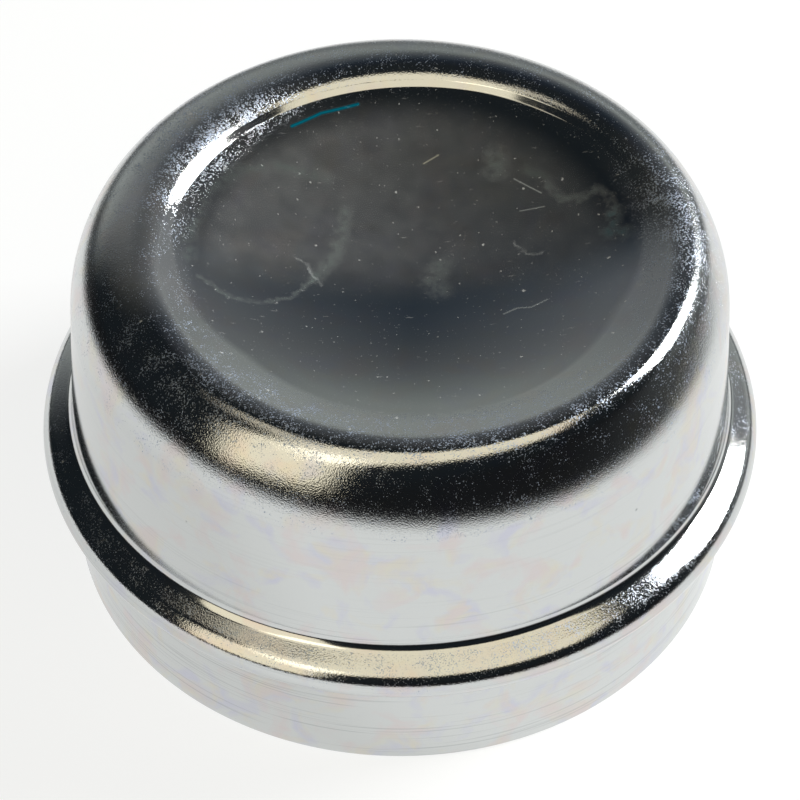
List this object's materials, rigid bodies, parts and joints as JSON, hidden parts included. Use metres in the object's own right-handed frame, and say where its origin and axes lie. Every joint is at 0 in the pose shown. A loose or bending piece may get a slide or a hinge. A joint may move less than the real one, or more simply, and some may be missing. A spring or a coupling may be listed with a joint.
{
  "type": "hub grease cap",
  "caption": "Round pressed steel cap with a press-fit skirt, a folded seating bead and a dished end, closing a wheel hub's bearing bore and keeping its grease in.",
  "frame": {"origin": "centre of the open mouth, on the cap's axis, in the plane that the cap stands on", "axes": "+Z along the cap's axis, from the open mouth towards the dished end; X and Y are equivalent, because the cap is turned about Z"},
  "size_m": [0.055, 0.055, 0.0306],
  "materials": {
    "zinc_plated_steel": "bright zinc plate on drawn steel, clear passivated"
  },
  "bodies": {
    "root": {"grease_cap": "zinc_plated_steel"}
  },
  "joints": []
}
